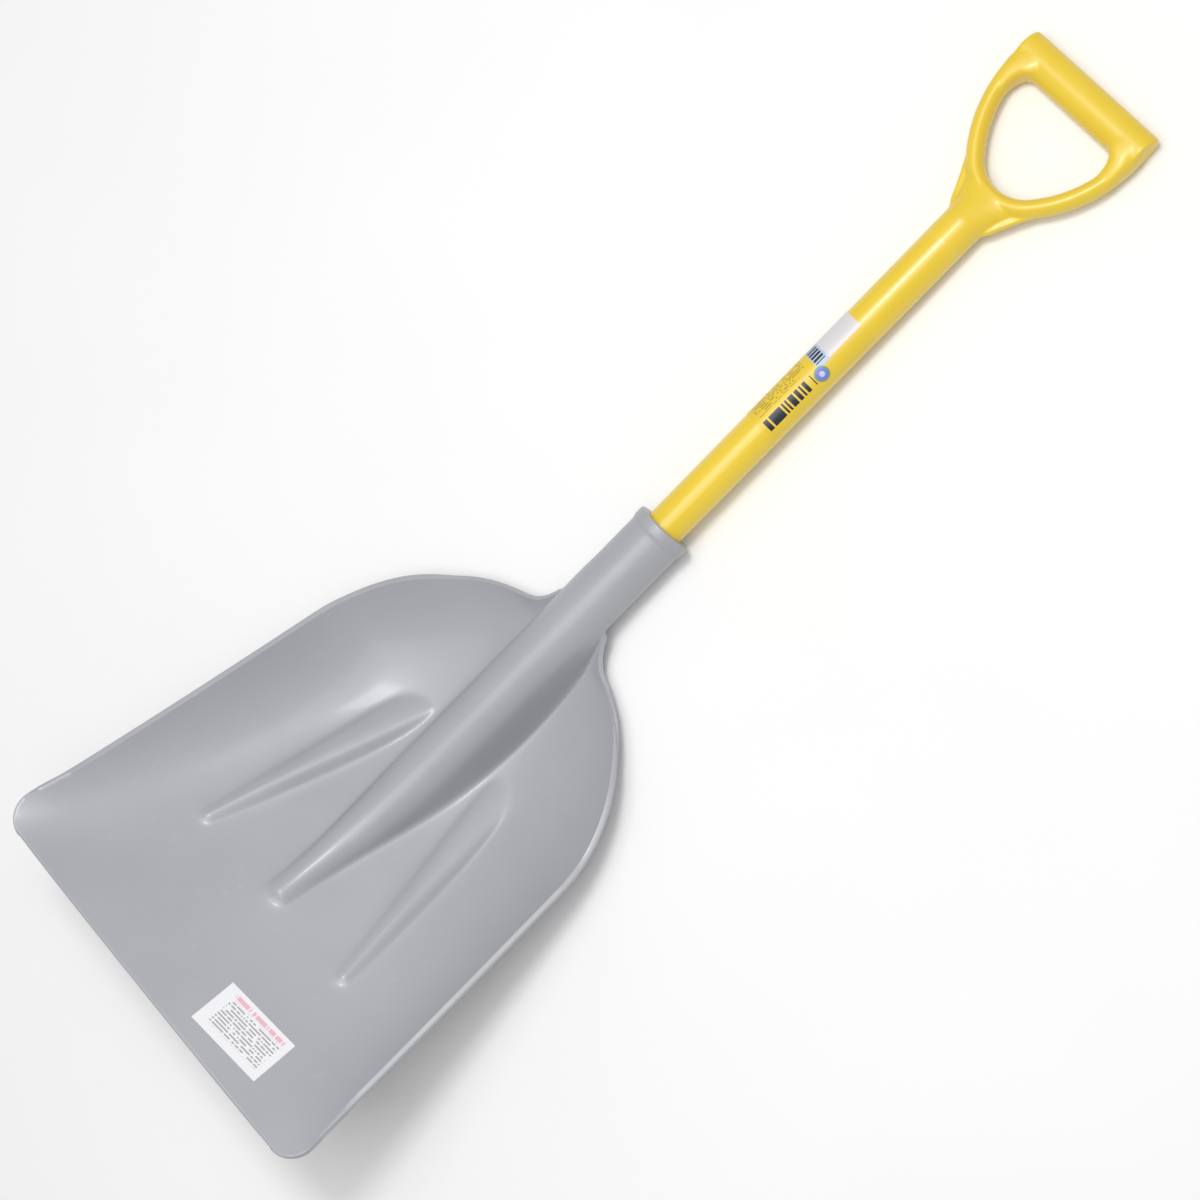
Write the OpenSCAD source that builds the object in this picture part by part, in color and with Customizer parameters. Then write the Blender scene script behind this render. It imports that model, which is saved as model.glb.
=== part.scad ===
// Grain scoop shovel: a moulded grey blade with a ribbed, dished floor and an integral socket,
// a plastic-clad round shaft with a timber core, and a yellow D-grip plugged into its end.
// Lengths are millimetres. The scoop lies face up on level ground, resting on the heel of its
// blade and on its grip, with the front edge lifted. +Y runs from the front edge to the grip.

/* [Blade] */
// Width of the blade across its front corners
front_w = 391; // [380:1:396]
// Radius of the two front corners
corner_r = 25; // [20:1:30]
// Radius of the round back of the blade
back_r = 163; // [158:1:165]
// Distance from the front edge to the centre of the round back
back_y = 290; // [284:1:296]
// Wall thickness of the moulding
wall = 4; // [3.5:0.1:4.5]
// Height of the front edge above the lowest part of the floor
dish = 24; // [20:1:26]
// Height of the rim above the same level at the front corners
rim_front = 31; // [28:1:33]
// Width of the lip moulded round the rim
lip_w = 5; // [4:0.5:6]
// Depth of that lip
lip_h = 5; // [4.5:0.5:6]

/* [Floor ribs] */
// Height of each side rib's top at its rear end, above the lowest part of the floor
rib_rise = 14; // [12:1:15]
// Width of each side rib's top at its rear end
rib_top_w = 32; // [26:1:34]
// Slope of a rib's sides
rib_slope = 1.1; // [0.9:0.1:1.3]

/* [Socket] */
// Angle between the shaft and the blade's floor
lift = 25.7; // [25:0.1:26.5]
// Outer radius of the socket
socket_r = 25; // [24.5:0.1:25.5]
// Radius of the band at the socket's mouth
band_r = 26; // [25.8:0.1:26.5]
// Length of that band
band_len = 9; // [7:1:12]
// Depth of the blind hole that takes the shaft
socket_depth = 148; // [140:1:150]

/* [Shaft] */
// Radius of the shaft at the socket end
shaft_r = 17; // [16.8:0.1:17.2]
// Radius of the shaft at the grip end
shaft_grip_r = 17.6; // [17.4:0.1:17.8]
// Thickness of the shaft's plastic sleeve
sleeve_t = 2.6; // [2:0.1:3]
// Distance from the socket's mouth to the joint between the sleeve and the grip
shaft_len = 325; // [320:1:330]

/* [Grip] */
// Width of the D-grip
grip_w = 137; // [135:1:139]
// Half the height of the oval hand bar, along the shaft
bar_r = 16.5; // [16:0.1:17]
// Half the thickness of the oval hand bar, front to back
bar_half_t = 14; // [13:0.5:16]
// Distance from the grip joint to the axis of the hand bar
bar_reach = 157.5; // [156:0.5:159]
// Width of each arm, seen from the front
arm_w = 15.5; // [15:0.1:16]
// Thickness of each arm
arm_t = 21; // [19:1:23]
// Thickness of the web between the neck and the arms
web_t = 7; // [5:0.5:8]
// Length of the spigot that plugs into the sleeve
spigot_len = 50; // [45:1:55]

/* [Fasteners and labels] */
// Radius of a self-tapping screw's shank
screw_r = 2.4; // [2.2:0.1:2.6]
// Radius of its pan head
head_r = 4.8; // [4.5:0.1:5]
// Height of its pan head
head_h = 2.6; // [2.4:0.1:2.8]
// Length of the paper label on the blade
label_w = 75; // [70:1:80]
// Height of the paper label on the blade
label_h = 44; // [40:1:48]
// Thickness of both labels
label_t = 0.4; // [0.3:0.1:0.5]

/* [Hidden] */

// ---- resting place: the blade's own frame is tipped back onto its heel and grip ----
rest_tilt = 27.33;
rest_y = 600.69;
rest_z = -121.9;

// ---- the shaft's axis, in the blade's frame ----
axis_y = 442.8;
axis_z = 90.9;
mouth_s = 125;
joint_s = mouth_s + shaft_len;
hole_end_s = mouth_s - socket_depth;
core_r = shaft_r - sleeve_t;
spigot_s = joint_s - spigot_len;
socket_screw_s = [22, 88];
grip_screw_s = joint_s - spigot_len / 2;
screw_len = 20;
seat_depth = 1;
grey = [0.68, 0.69, 0.71];
yellow = [0.93, 0.78, 0.16];

// ---- plan outline of the blade: straight sides, round back, concave neck ----
back_x = 2;
neck_r = 36;
side_reach = front_w / 2 - back_x;
side_angle = atan2(side_reach, back_y) - asin(back_r / norm([side_reach, back_y]));
side_end_y = back_y + back_r * sin(side_angle);
neck_x = socket_r + neck_r;
neck_y = back_y + sqrt(pow(back_r + neck_r, 2) - pow(neck_x - back_x, 2));
neck_start_y = back_y + (neck_y - back_y) * back_r / (back_r + neck_r);

function ease(t) = let (c = min(1, max(0, t))) c * c * (3 - 2 * c);
function blend_max(a, b, k) = (a + b + sqrt(pow(a - b, 2) + k * k)) / 2;
function axis_height(y) = axis_z + (y - axis_y) * tan(lift);

function corner_cut(y) = y >= corner_r ? 0
    : corner_r - sqrt(pow(corner_r, 2) - pow(corner_r - max(0, y), 2));
function full_width(y) =
    y < side_end_y ? front_w / 2 - y * tan(side_angle)
    : y < neck_start_y ? back_x + sqrt(pow(back_r, 2) - pow(y - back_y, 2))
    : neck_x - sqrt(max(0, pow(neck_r, 2) - pow(min(neck_y, y) - neck_y, 2)));
function half_width(y) = full_width(y) - corner_cut(y);
function edge_slope(y) = (half_width(y + 0.5) - half_width(max(0, y - 0.5))) / (y < 0.5 ? y + 0.5 : 1);
function edge_normal(y) = let (m = edge_slope(y)) [1, -m] / norm([1, m]);
lip_thin = 0.6;
function lip_share(y) = ease((y - 20) / 60) * (1 - ease((y - 400) / 45));
function lip_at(y) = lip_thin + (lip_w - lip_thin) * lip_share(y);

// ---- heights of the blade's upper surface ----
floor_low_y = 200;
back_rise = 90;
back_run = 270;
rim_slope = 0.085;
rib_tip = [92, 134];
rib_end = [54, 342];
rib_tip_z = 7.5;
rib_tip_w = 8;
rib_shoulder = 5;
rib_foot = [3, 0.8];
frog_foot = [6, 3];
frog_tip_y = 136;
frog_straight_y = 300;
frog_tip_r = 13;
flank_angle = 75;

function floor_height(y) = y < floor_low_y ? dish * pow(1 - y / floor_low_y, 2)
    : back_rise * pow((y - floor_low_y) / back_run, 3);
function rim_base(y) = rim_front + rim_slope * y + 10 * ease((y - 330) / 70);
function rim_height(y) = rim_base(y)
    + (axis_height(neck_y) - rim_base(neck_y)) * ease((y - 440) / (neck_y - 440));
function bowl(x, y) = let (n = 6 - 3 * ease((y - 100) / 330), f = floor_height(y))
    f + (rim_height(y) - f) * pow(abs(x) / full_width(y), n);

function rib_half(t) = (rib_tip_w + (rib_top_w - rib_tip_w) * pow(t, 1.4)) / 2;
// The floor with one rib: its sides run softly into the floor, and its rear end meets the
// rising back in a sharp hollow line
function ribbed(x, y) = let (run = rib_end - rib_tip, p = [abs(x), y] - rib_tip,
                             t = min(1, max(0, (p * run) / (run * run))),
                             past = norm(p - run * t) - rib_half(t),
                             top = rib_tip_z + (rib_rise - rib_tip_z) * pow(t, 3),
                             side = (past + sqrt(past * past + rib_shoulder * rib_shoulder)) / 2,
                             foot = rib_foot[0] + (rib_foot[1] - rib_foot[0]) * t * t)
    blend_max(bowl(x, y), top - rib_slope * side, foot);

crest_run = frog_straight_y - frog_tip_y;
crest_top = axis_height(frog_straight_y) + socket_r / cos(lift) - rib_tip_z;
crest_bend = (crest_run * tan(lift) - crest_top) / pow(crest_run, 2);
crest_start = tan(lift) - 2 * crest_bend * crest_run;
function crest(y) = let (t = max(0, y - frog_tip_y))
    y > frog_straight_y ? axis_height(y) + socket_r / cos(lift)
    : rib_tip_z + crest_start * t + crest_bend * t * t - max(0, frog_tip_y - y);
function flank_drop(x, r) = let (edge = r * sin(flank_angle))
    x < edge ? r - sqrt(r * r - x * x) : r * (1 - cos(flank_angle)) + (x - edge) * tan(flank_angle);
function frog(x, y) = let (r = frog_tip_r + (socket_r - frog_tip_r) * ease((y - frog_tip_y) / crest_run))
    crest(y) - flank_drop(abs(x), r) / cos(lift);
function top_height(x, y) =
    blend_max(ribbed(x, y), frog(x, y), frog_foot[0] + (frog_foot[1] - frog_foot[0]) * ease((y - 430) / 45));

// ---- the blade as rows of points, each row running across it ----
corner_rows = [for (a = [0:15:75]) corner_r * (1 - cos(a))];
side_rows = [for (k = [0:25]) corner_r + (side_end_y - corner_r) * k / 26];
back_rows = [for (k = [0:18]) side_end_y + (neck_start_y - side_end_y) * sin(90 * k / 19)];
neck_rows = [for (k = [0:7]) neck_start_y + (neck_y - neck_start_y) * k / 7];
rows = concat(corner_rows, side_rows, back_rows, neck_rows);

frog_cols = [0, 0.25, 0.5, 0.64, 0.76, 0.88];
rib_cols = [1, 0.75, 0.4, 0, -0.4, -0.75, -1];
wall_cols = [0.2, 0.4, 0.58, 0.73, 0.86, 0.94, 1];
function row_x(y, edge) = let (f = min(34, 0.8 * edge), run = rib_end - rib_tip,
        t = min(1, max(0, (y - rib_tip[1]) / run[1])),
        r = min(rib_tip[0] + run[0] * (y - rib_tip[1]) / run[1], f + 0.45 * (edge - f)),
        reach = rib_half(t) + 5, a = min(reach, 0.85 * (r - f)), b = min(reach, 0.4 * (edge - r)))
    concat([for (c = frog_cols) f * c], [f], [for (c = rib_cols) r - c * (c > 0 ? a : b)],
           [for (c = wall_cols) r + b + (edge - r - b) * c]);
function skin(x, y) = [x, y, top_height(x, y)];
function skin_normal(p) = let (d = 0.4,
        n = cross(skin(p[0] + d, p[1]) - skin(p[0] - d, p[1]), skin(p[0], p[1] + d) - skin(p[0], p[1] - d)))
    n / norm(n);

function top_row(y) = let (n = edge_normal(y), l = lip_at(y), edge = half_width(y) - l * n[0],
                           half = [for (x = row_x(y, edge)) skin(x, y - l * n[1] * pow(x / edge, 2))])
    concat([for (k = [len(half) - 1:-1:1]) [-half[k][0], half[k][1], half[k][2]]], half);
function lip_point(p, y, side) = let (n = edge_normal(y), l = lip_at(y))
    p + l * [side * n[0], n[1], 0];
function ring(y) = let (top = top_row(y), m = len(top) - 1,
        low = [for (p = top) p - wall * skin_normal(p)], share = lip_share(y),
        sill = [for (k = [0:m]) k == 0 || k == m ? low[k] + (top[k] - [0, 0, lip_h] - low[k]) * share
                                                 : low[k]])
    concat([lip_point(top[0], y, -1)], top, [lip_point(top[m], y, 1)],
           [lip_point(sill[m], y, 1)], [for (k = [m:-1:0]) sill[k]], [lip_point(sill[0], y, -1)]);

module skinned(rings) {
    n = len(rings[0]);
    last = (len(rings) - 1) * n;
    walls = [for (j = [0:len(rings) - 2], i = [0:n - 1]) let (a = j * n + i, b = j * n + (i + 1) % n)
             each [[a, b + n, b], [a, a + n, b + n]]];
    caps = [for (i = [0:n / 2 - 2]) let (c = n - 1 - i)
            each [[i, c - 1, c], [i, i + 1, c - 1],
                  [last + i, last + c, last + c - 1], [last + i, last + c - 1, last + i + 1]]];
    polyhedron([for (r = rings) each r], concat(walls, caps));
}

// ---- frames: the blade's own frame, and the shaft's, whose Z runs towards the grip ----
module at_rest() translate([0, 0, rest_z]) rotate([-rest_tilt, 0, 0]) translate([0, -rest_y, 0])
    children();
module on_shaft(s = 0) at_rest() translate([0, axis_y, axis_z]) rotate([lift - 90, 0, 0])
    translate([0, 0, s]) children();

function shaft_radius(s) = shaft_r + (shaft_grip_r - shaft_r) * (s - mouth_s) / shaft_len;

// A hole for a screw with a flat seat under its head, bored upwards from the underside at s
module screw_hole(s, outer_r) translate([0, 0, s]) rotate([-90, 0, 0]) {
    translate([0, 0, outer_r - screw_len]) cylinder(r = screw_r, h = screw_len + 1, $fn = 24);
    translate([0, 0, outer_r - seat_depth]) cylinder(r = head_r + 0.5, h = 3, $fn = 40);
}

// A pan-head screw with a cross recess, its head seated below the surface at s
module screw(s, outer_r) translate([0, 0, s]) rotate([-90, 0, 0])
    translate([0, 0, outer_r - seat_depth]) difference() {
        union() {
            translate([0, 0, seat_depth - screw_len]) cylinder(r = screw_r, h = screw_len, $fn = 24);
            rotate_extrude($fn = 40) polygon([[0, 0], [head_r, 0], [head_r, head_h * 0.45],
                [head_r * 0.86, head_h * 0.82], [head_r * 0.6, head_h], [0, head_h]]);
        }
        for (turn = [0, 90]) rotate(turn) translate([-2.6, -0.5, head_h - 1.3]) cube([5.2, 1, 2]);
    }

module scoop_blade() color(grey) {
    at_rest() skinned([for (y = rows) ring(y)]);
    on_shaft() difference() {
        union() {
            translate([0, 0, hole_end_s - 6]) cylinder(r = socket_r - 0.5, h = socket_depth + 6, $fn = 96);
            translate([0, 0, mouth_s - band_len]) cylinder(r = band_r, h = band_len, $fn = 96);
        }
        translate([0, 0, hole_end_s]) cylinder(r = shaft_r + 0.1, h = socket_depth + 1, $fn = 96);
        for (s = socket_screw_s) screw_hole(s, socket_r);
    }
}

module shaft_sleeve() color(yellow) on_shaft() difference() {
    union() {
        translate([0, 0, hole_end_s + 1]) cylinder(r = shaft_r, h = socket_depth - 1, $fn = 96);
        translate([0, 0, mouth_s]) cylinder(r1 = shaft_r, r2 = shaft_grip_r, h = shaft_len, $fn = 96);
    }
    translate([0, 0, hole_end_s]) cylinder(r = core_r, h = joint_s - hole_end_s + 1, $fn = 96);
    for (s = socket_screw_s) screw_hole(s, socket_r);
    screw_hole(grip_screw_s, shaft_radius(grip_screw_s));
}

module shaft_core() color("burlywood") on_shaft() difference() {
    translate([0, 0, hole_end_s + 1]) cylinder(r = core_r, h = spigot_s - hole_end_s - 3, $fn = 96);
    for (s = socket_screw_s) screw_hole(s, socket_r);
}

// The hand opening is bounded by a throat arc, a long side arc and a corner arc on each side,
// each tangent to the next, and is symmetric. Angles are those of the outward normal.
throat_r = 36;
throat_end = -43;
side_r = 108;
side_end = -12;
corner_hole_r = 17;
throat_z = 95.7;
function normal(a) = [cos(a), sin(a)];
throat_c = [0, throat_z];
side_c = throat_c + (throat_r - side_r) * normal(throat_end);
corner_c = side_c + (side_r - corner_hole_r) * normal(side_end);
function right_point(a, extra) =
    a < throat_end ? throat_c + (throat_r + extra) * normal(a)
    : a < side_end ? side_c + (side_r + extra) * normal(a)
    : corner_c + (corner_hole_r + extra) * normal(a);
function hole_point(a, extra) =
    let (p = right_point(a > 90 && a < 270 ? 180 - a : a > 180 ? a - 360 : a, extra))
    a > 90 && a < 270 ? [-p[0], p[1]] : p;

// The arms are one ring of oval section round the hand opening
arm_turns = 60;
arm_sides = 16;
module arm_ring() {
    points = [for (i = [0:arm_turns - 1], k = [0:arm_sides - 1])
        let (a = 360 * (i + 0.5) / arm_turns, b = 360 * k / arm_sides,
             p = hole_point(a, arm_w / 2 * (1 + cos(b))))
        [p[0], arm_t / 2 * sin(b), p[1]]];
    polyhedron(points, [for (i = [0:arm_turns - 1], k = [0:arm_sides - 1])
        let (j = (i + 1) % arm_turns, m = (k + 1) % arm_sides,
             a = i * arm_sides + k, b = j * arm_sides + k, c = j * arm_sides + m, d = i * arm_sides + m)
        each [[a, b, c], [a, c, d]]]);
}

web_side = [[16, 2], [17.6, 12], [20, 24], [26.5, 38], [32.5, 50], [38, 60], [40, 66]];
module web() rotate([90, 0, 0]) translate([0, 0, -web_t / 2]) linear_extrude(web_t) difference() {
    polygon(concat(web_side, [for (k = [len(web_side) - 1:-1:0]) [-web_side[k][0], web_side[k][1]]]));
    polygon([for (a = [3:6:357]) hole_point(a, 2)]);
}

// An oval loft along Z through rows of [height, centre x, half width, half thickness]
module oval_loft(rows) skinned([for (t = rows) [for (k = [0:47]) let (a = 7.5 * (k + 0.5))
    [t[1] + t[2] * cos(a), t[3] * sin(a), t[0]]]]);

// The neck spreads and flattens into the two arms
throat_rows = [[12, 0, 17.6, 17.6], [20, 0, 17.8, 17.2], [30, 0, 18.8, 15.6], [40, 0, 21.5, 13.2],
               [48, 0, 25.5, 11.4], [56, 0, 30, 10.2]];

// Each arm thickens into the end of the hand bar, keeping the grip's full width
shoulder_rows = [[117, 59.6, 7, 9.8], [126, 61.2, 8.2, 12], [132, 61.1, 8.7, 12.8], [138, 59.6, 10.2, 13.4],
                 [142, 56.1, 13.5, 13.7], [150, 53, 15.8, 13.9]];

// The hand bar is a row of oval rings along X whose end rings shrink to round the ends off
bar_end = 3;
module hand_bar() {
    half = [for (a = [0:18:90]) [grip_w / 2 - bar_end * (1 - cos(a)), bar_end * (1 - sin(a))]];
    steps = concat([for (h = half) [-h[0], h[1]]], [for (k = [len(half) - 1:-1:0]) half[k]]);
    skinned([for (t = steps) [for (k = [0:47]) let (a = 7.5 * (k + 0.5))
        [t[0], (bar_half_t - t[1]) * cos(a), bar_reach + (bar_r - t[1]) * sin(a)]]]);
}

module d_grip() color(yellow) on_shaft(joint_s) difference() {
    union() {
        translate([0, 0, -spigot_len]) cylinder(r = core_r, h = spigot_len + 1, $fn = 96);
        cylinder(r = shaft_grip_r, h = 20, $fn = 96);
        translate([0, 0, 20]) cylinder(r1 = shaft_grip_r, r2 = arm_t / 2 - 1, h = 34, $fn = 96);
        oval_loft(throat_rows);
        web();
        arm_ring();
        hand_bar();
        for (side = [-1, 1])
            oval_loft([for (t = shoulder_rows) [t[0], side * (t[1] + (grip_w - 137) / 2), t[2], t[3]]]);
    }
    translate([0, 0, -joint_s]) screw_hole(grip_screw_s, shaft_radius(grip_screw_s));
}

module socket_screws() color("silver") on_shaft() for (s = socket_screw_s) screw(s, socket_r);
module grip_screw() color("silver") on_shaft() screw(grip_screw_s, shaft_radius(grip_screw_s));

// Paper label part of the way round the shaft, towards its upper left
shaft_label_s = [240, 356];
shaft_label_arc = [170, 165];
module shaft_label() color("white") on_shaft() rotate([0, 0, shaft_label_arc[0]])
    rotate_extrude(angle = shaft_label_arc[1], $fn = 96)
        polygon([for (s = shaft_label_s) [shaft_radius(s), s],
                 for (k = [1, 0]) [shaft_radius(shaft_label_s[k]) + label_t, shaft_label_s[k]]]);

// Paper label following the blade's floor near the front edge
blade_label_c = [79, 42];
blade_label_turn = 4.7;
function label_spot(a, b) = let (c = cos(blade_label_turn), s = sin(blade_label_turn),
        p = blade_label_c + [c * a - s * b, s * a + c * b])
    skin(p[0], p[1]);
function label_row(b, lift_off) = [for (k = [0:10]) let (p = label_spot(label_w * (k / 10 - 0.5), b))
    p + lift_off * skin_normal(p)];
function label_ring(b) = let (under = label_row(b, 0)) concat(label_row(b, label_t),
    [for (k = [len(under) - 1:-1:0]) under[k]]);
module blade_label() color("white") at_rest()
    skinned([for (k = [0:6]) label_ring(label_h * (k / 6 - 0.5))]);

scoop_blade();
shaft_sleeve();
shaft_core();
d_grip();
socket_screws();
grip_screw();
shaft_label();
blade_label();
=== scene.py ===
"""Looks of a grain scoop shovel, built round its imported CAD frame.

Shapes are worked out in millimetres in the blade's own frame or the shaft's, then placed in
the row frame in metres. The scoop lies face up on its heel and grip, +Y towards the grip.
"""

import math

import bmesh
import bpy
import numpy as np
from mathutils import Matrix, Vector


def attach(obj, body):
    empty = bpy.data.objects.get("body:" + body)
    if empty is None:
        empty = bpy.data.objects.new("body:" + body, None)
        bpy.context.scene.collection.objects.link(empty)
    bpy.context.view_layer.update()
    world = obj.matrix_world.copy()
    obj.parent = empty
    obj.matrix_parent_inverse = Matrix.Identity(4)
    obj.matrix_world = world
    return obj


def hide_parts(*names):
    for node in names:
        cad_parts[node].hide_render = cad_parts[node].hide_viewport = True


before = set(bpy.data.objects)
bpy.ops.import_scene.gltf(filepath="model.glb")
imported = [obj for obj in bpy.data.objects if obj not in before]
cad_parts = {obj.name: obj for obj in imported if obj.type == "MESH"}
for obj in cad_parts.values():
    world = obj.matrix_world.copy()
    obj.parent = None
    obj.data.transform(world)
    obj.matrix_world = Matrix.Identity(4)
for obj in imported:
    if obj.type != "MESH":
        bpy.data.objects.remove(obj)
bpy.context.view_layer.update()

MM = 0.001

# ---- blade ----
FRONT_W = 391.0
CORNER_R = 25.0
BACK_R = 163.0
BACK_X = 2.0
BACK_Y = 290.0
NECK_R = 36.0
WALL = 4.0
DISH = 24.0
BOWL_POWER = (6.0, 3.0)
BOWL_POWER_Y = (100.0, 430.0)
RIM_FRONT = 31.0
RIM_SLOPE = 0.085
RIM_BACK_RISE = 10.0
RIM_BACK_Y = (330.0, 400.0)
RIM_CLIMB_Y = 440.0
RIM_BAND = 14.0
LIP_W = 5.0
LIP_H = 5.0
LIP_THIN = 0.6
LIP_ROUND = 1.5
LIP_GROW_Y = (20.0, 80.0)
LIP_FADE_Y = (400.0, 445.0)
FRONT_ROUND = 1.6
FLOOR_LOW_Y = 200.0
BACK_RISE = 90.0
BACK_RUN = 270.0
RIB_TIP = (92.0, 134.0)
RIB_END = (54.0, 342.0)
RIB_TIP_Z = 7.5
RIB_TIP_W = 8.0
RIB_RISE = 14.0
RIB_TOP_W = 32.0
RIB_SPREAD = 1.4
RIB_SLOPE = 1.1
RIB_SHOULDER = 5.0
RIB_FOOT = (3.0, 0.8)
FROG_FOOT = (6.0, 3.0)
FROG_FOOT_Y = (430.0, 475.0)

# ---- socket and the raised frog that runs down from it ----
LIFT = math.radians(25.7)
SOCKET_R = 25.0
BAND_R = 26.0
BAND_LEN = 9.0
BAND_ROUND = 1.4
FLARE_LEN = 5.0
FLARE_OVERLAP = 1.0
FLARE_LEAD = 4.0
SOCKET_DEPTH = 148.0
SOCKET_END_T = 6.0
SOCKET_INSET = 0.15
BORE_GAP = 0.1
MOUTH_CHAMFER = (0.8, 0.9)
END_CHAMFER = 1.0
SKIN_RUN = 32.0
SKIN_SINK = 0.3
SKIN_OUTER_R = 22.5
AXIS_Y = 442.8
AXIS_Z = 90.9
FROG_TIP_Y = 136.0
FROG_STRAIGHT_Y = 300.0
FROG_TIP_R = 13.0
FLANK_ANGLE = math.radians(75)

# ---- shaft ----
SHAFT_R = 17.0
SHAFT_GRIP_R = 17.6
SLEEVE_T = 2.6
SHAFT_LEN = 325.0
MOUTH_S = 125.0
JOINT_S = MOUTH_S + SHAFT_LEN
HOLE_END_S = MOUTH_S - SOCKET_DEPTH
CORE_R = SHAFT_R - SLEEVE_T

# ---- grip ----
GRIP_W = 137.0
BAR_HALF_H = 16.5
BAR_HALF_T = 14.0
BAR_REACH = 157.5
BAR_END = 1.5
ARM_W = 15.5
ARM_T = 21.0
WEB_T = 7.0
SPIGOT_LEN = 50.0
SPIGOT_SINK = 1.0
THROAT_R = 36.0
THROAT_END = -43.0
SIDE_R = 108.0
SIDE_END = -12.0
HOLE_CORNER_R = 17.0
THROAT_Z = 95.7
NECK_ROUND_Z = (18.0, 30.0)
WEB_OVERLAP = 2.0
WEB_SIDE = [(16, 2), (17.6, 12), (20, 24), (26.5, 38), (32.5, 50), (38, 60), (40, 66)]
VOXEL = 0.9
SMOOTHING = 20

# ---- screws and labels ----
HEAD_R = 4.8
SEAT_DEPTH = 1.0
SEAT_GAP = 0.5
SEAT_CUT_H = 6.0
SOCKET_SCREW_S = (22.0, 88.0)
GRIP_SCREW_S = JOINT_S - SPIGOT_LEN / 2
LABEL_T = 0.35
LABEL_SINK = 0.1
LABEL_R = SHAFT_R + 0.3
SHAFT_LABEL_S = (240.0, 356.0)
SHAFT_LABEL_ARC = (170.0, 165.0)
BLADE_LABEL_SIZE = (75.0, 44.0)
BLADE_LABEL_C = (79.0, 42.0)
BLADE_LABEL_TURN = math.radians(4.7)

# ---- resting place ----
REST_TILT = math.radians(27.33)
REST_Y = 600.69
REST_Z = -121.9

BLADE_FRAME = (
    Matrix.Translation((0, 0, REST_Z))
    @ Matrix.Rotation(-REST_TILT, 4, "X")
    @ Matrix.Translation((0, -REST_Y, 0))
)
SHAFT_FRAME = (
    BLADE_FRAME
    @ Matrix.Translation((0, AXIS_Y, AXIS_Z))
    @ Matrix.Rotation(LIFT - math.pi / 2, 4, "X")
)
GRIP_FRAME = SHAFT_FRAME @ Matrix.Translation((0, 0, JOINT_S))

# ---------------------------------------------------------------- blade shape
SIDE_REACH = FRONT_W / 2 - BACK_X
SIDE_ANGLE = math.atan2(SIDE_REACH, BACK_Y) - math.asin(BACK_R / math.hypot(SIDE_REACH, BACK_Y))
SIDE_END_Y = BACK_Y + BACK_R * math.sin(SIDE_ANGLE)
NECK_X = SOCKET_R + NECK_R
NECK_Y = BACK_Y + math.sqrt((BACK_R + NECK_R) ** 2 - (NECK_X - BACK_X) ** 2)
NECK_START_Y = BACK_Y + (NECK_Y - BACK_Y) * BACK_R / (BACK_R + NECK_R)


def ease(t):
    c = np.clip(t, 0, 1)
    return c * c * (3 - 2 * c)


def step_over(value, ends):
    """Eases from 0 to 1 between two places."""
    return ease((value - ends[0]) / (ends[1] - ends[0]))


def blend_max(a, b, k):
    return (a + b + np.sqrt((a - b) ** 2 + k * k)) / 2


def axis_height(y):
    return AXIS_Z + (y - AXIS_Y) * math.tan(LIFT)


def full_width(y):
    side = FRONT_W / 2 - y * math.tan(SIDE_ANGLE)
    back = BACK_X + np.sqrt(np.maximum(0, BACK_R**2 - (y - BACK_Y) ** 2))
    reach = np.minimum(NECK_Y, y) - NECK_Y
    neck = NECK_X - np.sqrt(np.maximum(0, NECK_R**2 - reach**2))
    return np.where(y < SIDE_END_Y, side, np.where(y < NECK_START_Y, back, neck))


def half_width(y):
    inset = CORNER_R - min(max(y, 0), CORNER_R)
    return float(full_width(y)) - (CORNER_R - math.sqrt(CORNER_R**2 - inset**2))


def edge_normal(y):
    low = max(0.0, y - 0.5)
    slope = (half_width(y + 0.5) - half_width(low)) / (y + 0.5 - low)
    return np.array([1, -slope]) / math.hypot(1, slope)


def lip_share(y):
    return float(step_over(y, LIP_GROW_Y) * (1 - step_over(y, LIP_FADE_Y)))


def floor_height(y):
    front = DISH * (1 - np.minimum(y, FLOOR_LOW_Y) / FLOOR_LOW_Y) ** 2
    back = BACK_RISE * (np.maximum(0, y - FLOOR_LOW_Y) / BACK_RUN) ** 3
    return front + back


def rim_base(y):
    return RIM_FRONT + RIM_SLOPE * y + RIM_BACK_RISE * step_over(y, RIM_BACK_Y)


def rim_height(y):
    climb = axis_height(NECK_Y) - rim_base(NECK_Y)
    return rim_base(y) + climb * step_over(y, (RIM_CLIMB_Y, NECK_Y))


def bowl(x, y):
    power = BOWL_POWER[0] + (BOWL_POWER[1] - BOWL_POWER[0]) * step_over(y, BOWL_POWER_Y)
    low = floor_height(y)
    return low + (rim_height(y) - low) * (np.abs(x) / full_width(y)) ** power


def rib_half(t):
    return (RIB_TIP_W + (RIB_TOP_W - RIB_TIP_W) * t**RIB_SPREAD) / 2


def ribbed(x, y):
    """The floor with one rib, whose rear end meets the rising back in a sharp hollow line."""
    run = np.subtract(RIB_END, RIB_TIP)
    px, py = np.abs(x) - RIB_TIP[0], y - RIB_TIP[1]
    t = np.clip((px * run[0] + py * run[1]) / (run @ run), 0, 1)
    past = np.hypot(px - run[0] * t, py - run[1] * t) - rib_half(t)
    side = (past + np.sqrt(past**2 + RIB_SHOULDER**2)) / 2
    top = RIB_TIP_Z + (RIB_RISE - RIB_TIP_Z) * t**3
    foot = RIB_FOOT[0] + (RIB_FOOT[1] - RIB_FOOT[0]) * t**2
    return blend_max(bowl(x, y), top - RIB_SLOPE * side, foot)


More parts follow.
